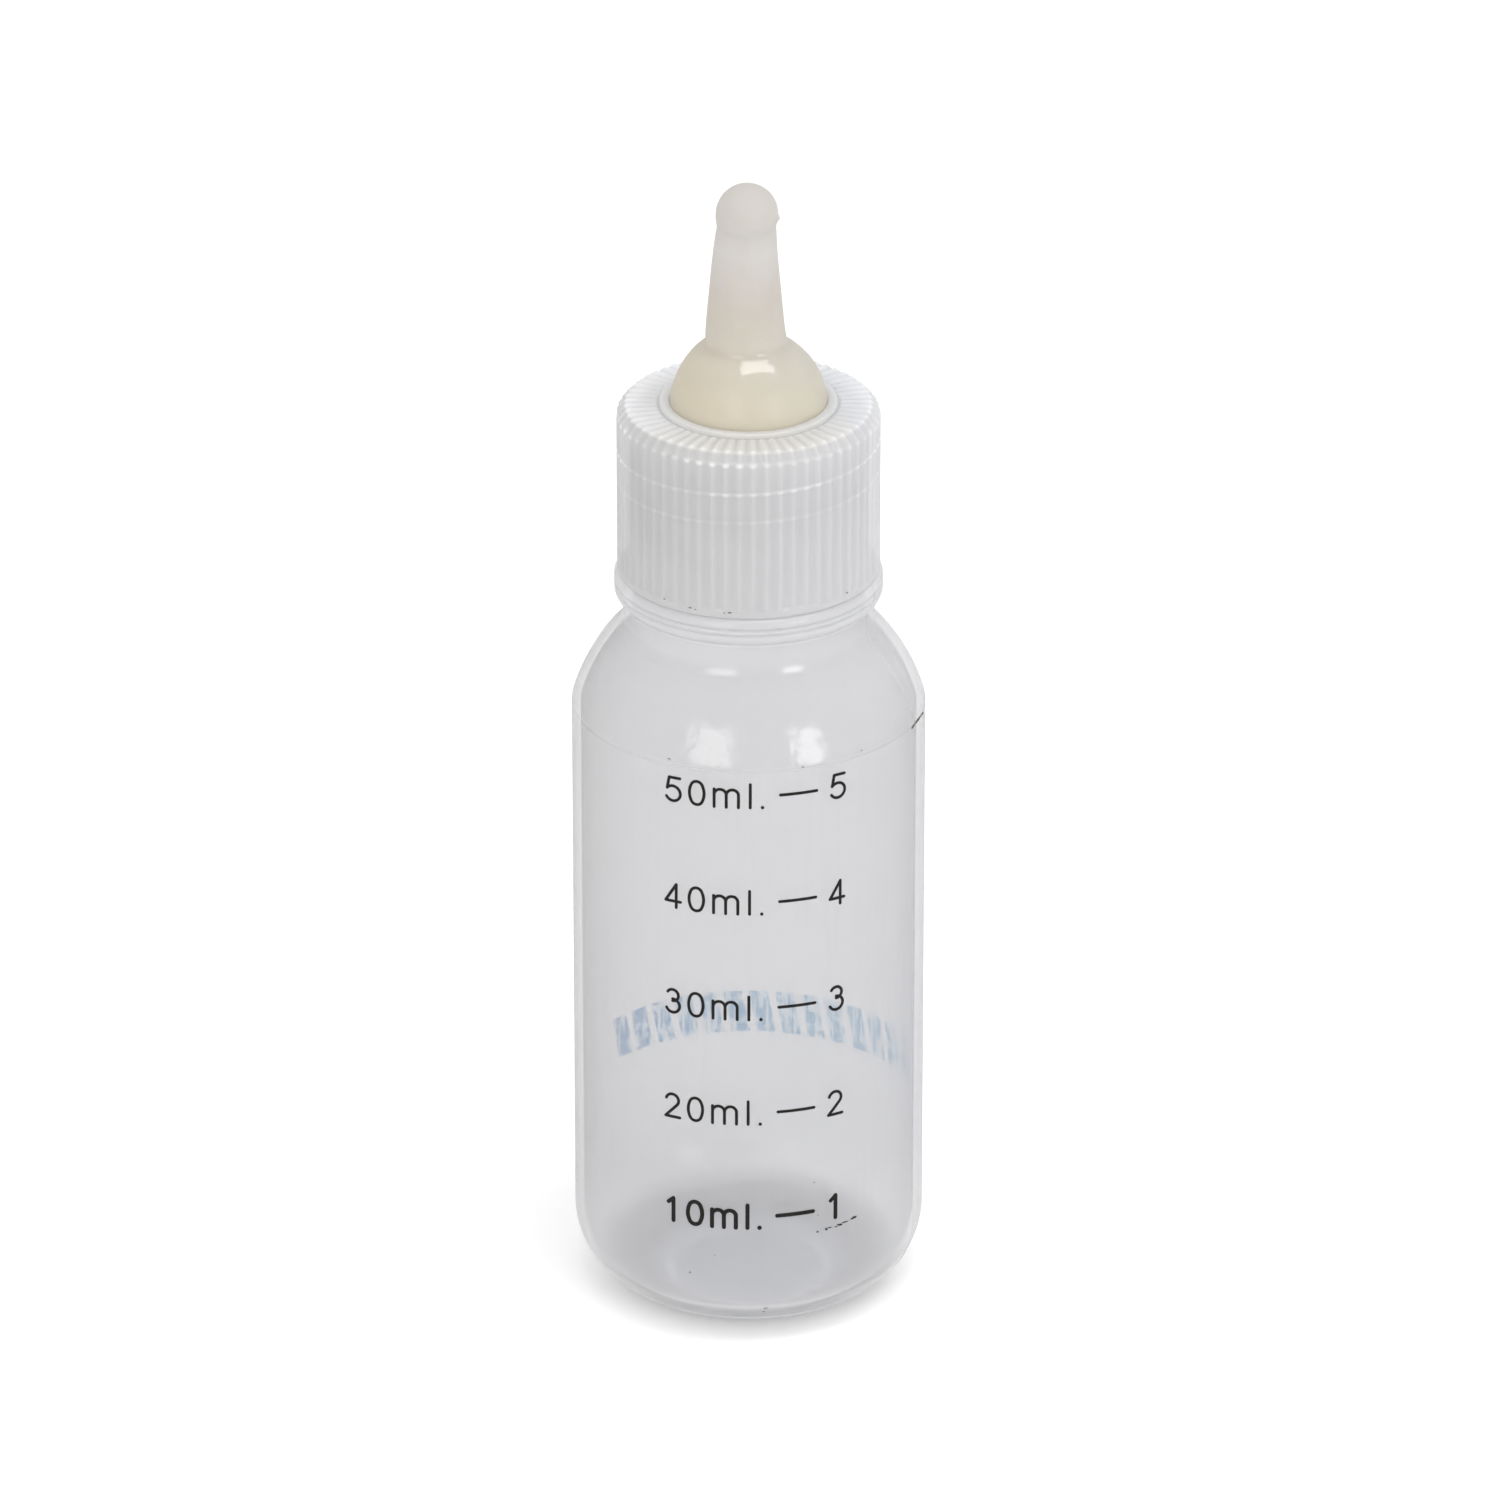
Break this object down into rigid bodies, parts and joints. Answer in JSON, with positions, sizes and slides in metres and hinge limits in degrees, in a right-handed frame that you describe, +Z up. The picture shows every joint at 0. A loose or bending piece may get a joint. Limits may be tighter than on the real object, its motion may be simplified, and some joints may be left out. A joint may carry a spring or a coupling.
{
  "type": "small nursing bottle",
  "caption": "Small graduated soft plastic nursing bottle with a ribbed screw cap and a soft pull-through teat, for hand-feeding young animals.",
  "frame": {"origin": "centre of the base ring that the bottle stands on", "axes": "+Z up along the bottle's axis towards the teat; the printed scale faces -Y"},
  "size_m": [0.035, 0.035, 0.1185],
  "materials": {
    "bottle_plastic": "milky translucent, satin gloss",
    "cap_plastic": "milky translucent, satin",
    "teat_latex": "smooth soft satin",
    "black_ink": "printed ink",
    "blue_ink": "worn printed ink"
  },
  "bodies": {
    "bottle": {"bottle": "bottle_plastic", "scale_50ml": "black_ink", "scale_40ml": "black_ink", "scale_30ml": "black_ink", "scale_20ml": "black_ink", "scale_10ml": "black_ink", "rear_band": "blue_ink"},
    "teat": {"teat": "teat_latex"},
    "screw_cap": {"screw_cap": "cap_plastic"}
  },
  "joints": [
    {"name": "cap_lift", "type": "slide", "parent": "bottle", "child": "teat", "axis": [0, 0, 1], "range_m": [0, 0.018]},
    {"name": "cap_turn", "type": "hinge", "parent": "teat", "child": "screw_cap", "pos_m": [0, 0, 0.0862], "axis": [0, 0, 1], "range_deg": [0, 2160]}
  ],
  "couplings": [
    {"joint": "cap_lift", "follows": "cap_turn", "m_per_rad": 0.00047746}
  ]
}
